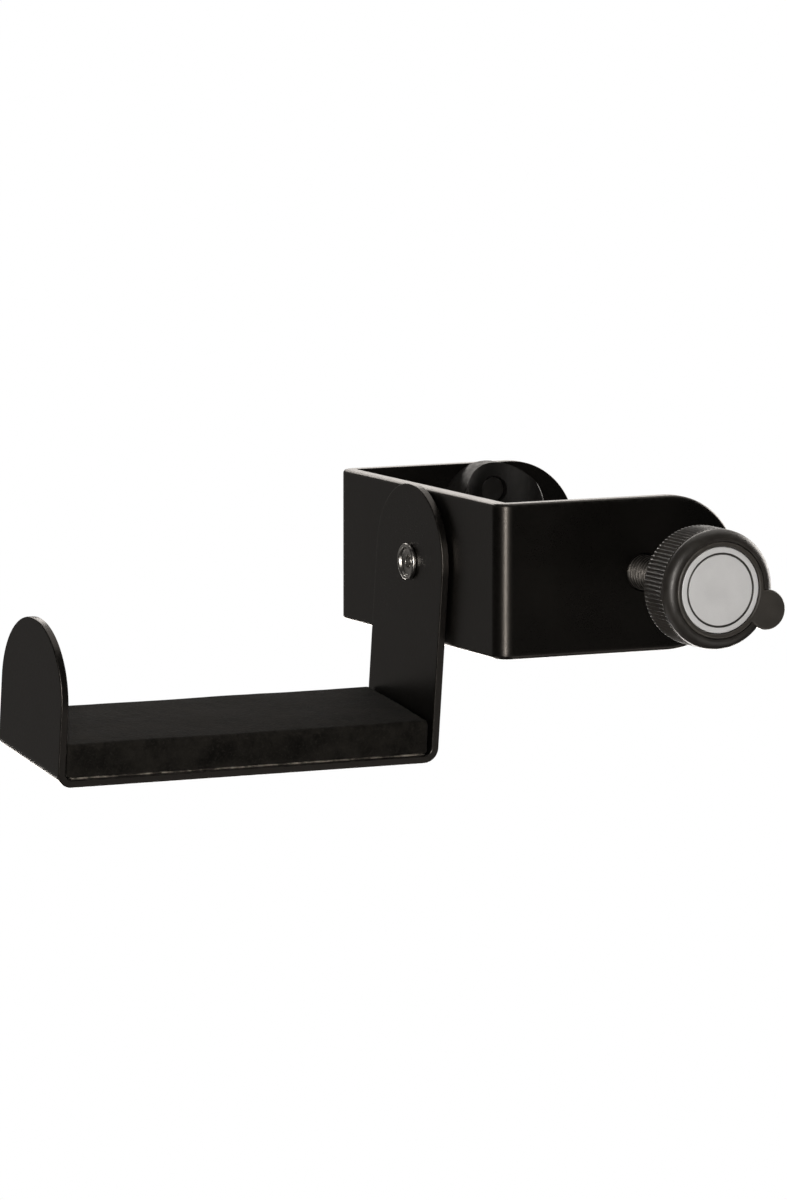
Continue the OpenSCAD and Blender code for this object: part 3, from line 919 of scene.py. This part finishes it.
# ---------------------------------------------------------------- knob
def plate_outline(margin):
    """Round plate with its thumb lug, joined by small inner fillets."""
    reach, rim, fillet_r = lug_r + margin, plate_r + margin, 0.8
    bite = (lug_offset ** 2 + rim ** 2 - reach ** 2) / (2 * lug_offset)
    meet = math.degrees(math.acos(bite / rim))
    spread = math.degrees(math.atan2(rim * math.sin(math.radians(meet)), bite - lug_offset))
    tilt = math.degrees(lug_angle)
    round_part = arc((0, 0), rim, tilt + meet, tilt + 360 - meet, 84)
    centre = (lug_offset * math.cos(lug_angle), lug_offset * math.sin(lug_angle))
    lug_part = arc(centre, reach, tilt - spread, tilt + spread, 40)
    outline = [(p.x, p.y) for p in round_part[:-1]] + [(*round_part[-1], fillet_r)]
    outline += [(p.x, p.y) for p in lug_part[1:-1]]
    outline[0] = (*outline[0], fillet_r)
    return soften(outline, steps=4)


def tooth(angle, radius, height):
    """Serrations over the skirt, fading out at both of its ends."""
    start, end = knob_face_y + shoulder_r + groove_w, knob_back_y - rim_w
    if not start < height < end or radius < knob_r - 0.01:
        return radius
    fade_h, roundness = 0.25, 0.7
    fade = min(1.0, (height - start) / fade_h, (end - height) / fade_h)
    wave = 0.5 - 0.5 * math.cos(knob_teeth * angle)
    return radius - tooth_depth * fade * wave ** roundness


def knob_profile():
    """Half section of the knob's outside: rounded shoulder, groove, toothed skirt and plain rim."""
    shoulder_y = knob_face_y + shoulder_r
    skirt_y, rim_y = shoulder_y + groove_w, knob_back_y - rim_w
    recess_y, recess_r, groove_r = knob_face_y + plate_t, plate_r + 0.1, knob_r - groove_depth
    profile = [(0, recess_y), (recess_r, recess_y), (recess_r, knob_face_y + 0.12)]
    profile += [(knob_r - shoulder_r + shoulder_r * math.sin(a), shoulder_y - shoulder_r * math.cos(a))
                for a in [math.pi / 2 * k / 10 for k in range(1, 11)]]
    profile += [(knob_r - 0.12, shoulder_y + 0.06), (groove_r, shoulder_y + 0.1), (groove_r, skirt_y - 0.1),
                (knob_r - 0.3, skirt_y)]
    steps = 12
    profile += [(knob_r, skirt_y + 0.05 + (rim_y - skirt_y - 0.1) * k / steps) for k in range(steps + 1)]
    rim_r = knob_r - rim_inset
    rim = soften([(rim_r, rim_y), (rim_r, knob_back_y, 0.3), (rim_r - 1, knob_back_y)], closed=False)
    return profile + [(p.x, p.y) for p in rim] + [(0, knob_back_y)]


def pocket_outline(middle):
    """One of the hollows between the ribs in the knob's back, round the angle middle."""
    corner_r, outer_half, inner_half = 0.4, 26.2, 25
    outer = arc((0, 0), knob_r - knob_wall, middle - outer_half, middle + outer_half, 12)
    inner = arc((0, 0), hub_r, middle + inner_half, middle - inner_half, 9)
    outline = []
    for side, following in ((outer, inner), (inner, outer)):
        outline += [tuple(p) for p in side[1:-1]]
        outline += [(*side[-1], corner_r), (*following[0], corner_r)]
    return soften(outline, steps=3)


def make_knob_body():
    body = lathe(knob_profile(), turns=knob_teeth * 8, radius_at=tooth)
    floor_y = knob_face_y + socket_depth
    notch = slab(plate_outline(0.1), knob_face_y - 2, knob_face_y + plate_t)
    socket = slab(hexagon(hex_af + 0.2), knob_face_y + plate_t - 1, floor_y, steps=1)
    bore = drill(screw_r + 0.1, floor_y, knob_back_y, ON_SCREW)
    ribs = 6
    pockets = [slab(pocket_outline(360 / ribs * (i + 0.5)), knob_back_y - pocket_depth, knob_back_y + 2,
                    0.3, 0.0, steps=2) for i in range(ribs)]
    mesh = carve(body, notch, socket, bore, *pockets)
    return piece("knob_body_moulded", mesh, "knob_body", knob_plastic, sharp=38)


def make_knob_face():
    face_y = box_mm("knob_face")[0].y
    plate = slab(plate_outline(0), face_y, face_y + plate_t, 0.45, 0.1)
    floor_y, mouth_r, recess_r = box_mm("knob_disc")[1].y, disc_r + 0.35, disc_r + 0.1
    recess = lathe([(0, face_y - 2), (mouth_r, face_y - 2), (mouth_r, face_y), (recess_r, face_y + 0.25),
                    (recess_r, floor_y), (0, floor_y)], turns=128)
    return piece("knob_face_plate", carve(plate, recess), "knob_face", face_plastic)


def make_knob_disc():
    low, high = box_mm("knob_disc")
    ring_r = disc_r - ring_inset
    profile = soften([(0, high.y), (disc_r, high.y), (disc_r, low.y, 0.3), (ring_r, low.y, 0.1),
                      (ring_r - 0.05, low.y + ring_depth, 0.1), (ring_r - ring_w, low.y + ring_depth, 0.1),
                      (ring_r - ring_w - 0.05, low.y, 0.1), (0, low.y)], closed=False, steps=4)
    disc = lathe([(p.x, p.y) for p in profile], turns=128)
    return piece("knob_disc_plain", disc, "knob_disc", disc_grey)


# ---------------------------------------------------------------- the part
coat_clamp = powder_coat("powder_coat_clamp")
coat_hook = powder_coat("powder_coat_hook")
black_plastic = moulded("black_plastic", (0.007, 0.0067, 0.0063), (0.012, 0.0115, 0.011), (0.46, 0.6),
                        gloss=0.25)
knob_plastic = moulded("knob_plastic", (0.017, 0.0155, 0.0138), (0.026, 0.024, 0.0215), (0.33, 0.46))
face_plastic = moulded("face_plastic", (0.036, 0.0335, 0.030), (0.049, 0.045, 0.040), (0.36, 0.5))
painted_rivet = moulded("painted_rivet", (0.010, 0.0095, 0.009), (0.018, 0.017, 0.016), (0.3, 0.42),
                        grain=0.5, depth=0.02, edge_tint=0.6)
zinc = plated("zinc_plate", (0.44, 0.44, 0.42), (0.62, 0.62, 0.60))
nickel = plated("nickel_rivet", (0.40, 0.39, 0.37), (0.52, 0.51, 0.49), (0.26, 0.36))
spring = plated("spring_steel", (0.30, 0.29, 0.28), (0.46, 0.45, 0.43), (0.28, 0.44))
oxide = black_oxide("black_oxide")
pad_foam = foam("pad_foam")
foot_rubber = rubber("foot_rubber")
glue = dried_glue("dried_glue")
natural_nylon = nylon("natural_nylon")
disc_grey = disc_paint("disc_paint")

make_bracket()
make_saddle()
make_saddle_rivets()
make_weld_nut()
make_pivot_rivet()
make_friction_disc()
make_wave_washer()
make_flat_washer()
make_hook()
make_pad()
make_glue()
make_foot()
make_screw()
make_retaining_ring()
make_knob_body()
make_knob_face()
make_knob_disc()


# ---------------------------------------------------------------- stage, light and camera
def stage_white():
    """A material that shines evenly white, so that the object stands on plain pale ground."""
    material = bpy.data.materials.new("stage_white")
    material.use_nodes = True
    tree = material.node_tree
    tree.nodes.clear()
    shine = tree.nodes.new("ShaderNodeEmission")
    shine.inputs["Color"].default_value = (1, 1, 1, 1)
    out = tree.nodes.new("ShaderNodeOutputMaterial")
    tree.links.new(shine.outputs[0], out.inputs[0])
    return material


def make_stage():
    """A floor and a dome round it, which the camera sees and which light and shade pass by."""
    white = stage_white()
    room_r, floor_z = 6, -2.5     # metres
    shape = bmesh.new()
    bmesh.ops.create_circle(shape, cap_ends=True, radius=room_r, segments=64,
                            matrix=Matrix.Translation((0, 0, floor_z)))
    floor = bpy.data.objects.new("floor", to_mesh(shape, "floor"))
    shape = bmesh.new()
    bmesh.ops.create_uvsphere(shape, u_segments=48, v_segments=24, radius=room_r)
    dome = bpy.data.objects.new("backdrop", to_mesh(shape, "backdrop"))
    for thing in (floor, dome):
        thing.data.materials.append(white)
        bpy.context.scene.collection.objects.link(thing)
        thing.visible_diffuse = False
        thing.visible_glossy = False
        thing.visible_shadow = False


def softbox(name, direction, distance, size, power):
    """A rectangular warm light that stands in a direction from the part and faces it."""
    light = bpy.data.lights.new(name, "AREA")
    light.shape = "RECTANGLE"
    light.size, light.size_y = size
    light.energy = power
    light.color = (1.0, 0.95, 0.90)
    lamp = bpy.data.objects.new(name, light)
    bpy.context.scene.collection.objects.link(lamp)
    away = Vector(direction).normalized()
    lamp.location = part_centre + away * distance
    lamp.rotation_euler = away.to_track_quat("Z", "Y").to_euler()
    return lamp


def make_camera():
    azimuth, elevation = math.radians(-25.6051), math.radians(7.1431)
    target, distance = Vector((-0.02575, 0.0113, -0.01353)), 1.7502
    away = Vector((math.sin(azimuth) * math.cos(elevation), -math.cos(azimuth) * math.cos(elevation),
                   math.sin(elevation)))
    data = bpy.data.cameras.new("camera")
    data.lens = 225.99
    data.clip_end = 40
    camera = bpy.data.objects.new("camera", data)
    camera.location = target + away * distance
    camera.rotation_euler = away.to_track_quat("Z", "Y").to_euler()
    bpy.context.scene.collection.objects.link(camera)
    bpy.context.scene.camera = camera


make_stage()
softbox("background", (-0.10, 1.0, 0.05), 1.3, (2.0, 1.2), 1.2)
softbox("front_left", (-0.53, -0.85, 0.10), 1.2, (0.2, 0.8), 9.5)
softbox("front_wide", (-0.53, -0.85, 0.10), 1.25, (1.0, 0.9), 3.2)
softbox("back_right", (0.62, 0.72, 0.20), 1.3, (0.9, 0.7), 3.2)
softbox("back_low", (0.30, 0.85, -0.42), 1.3, (0.9, 0.5), 16.0)
softbox("back_top", (0.11, 0.85, 0.52), 1.3, (0.9, 0.35), 5.0)
softbox("right", (0.88, 0.20, 0.18), 1.2, (0.7, 0.8), 14.0)
softbox("top", (0.35, 0.30, 1.0), 1.2, (1.2, 1.2), 5.0)
softbox("under_front", (0.45, -0.60, -0.70), 1.2, (0.8, 0.6), 1.0)
softbox("under_back", (-0.60, 0.40, -0.70), 1.2, (0.8, 0.8), 1.5)
softbox("card", (0.38, -0.85, -0.42), 0.25, (0.2, 0.08), 0.02)
world = bpy.data.worlds.new("studio")
world.use_nodes = True
world.node_tree.nodes["Background"].inputs["Color"].default_value = (0.018, 0.0175, 0.017, 1)
bpy.context.scene.world = world
bpy.context.scene.view_settings.view_transform = "Standard"
make_camera()
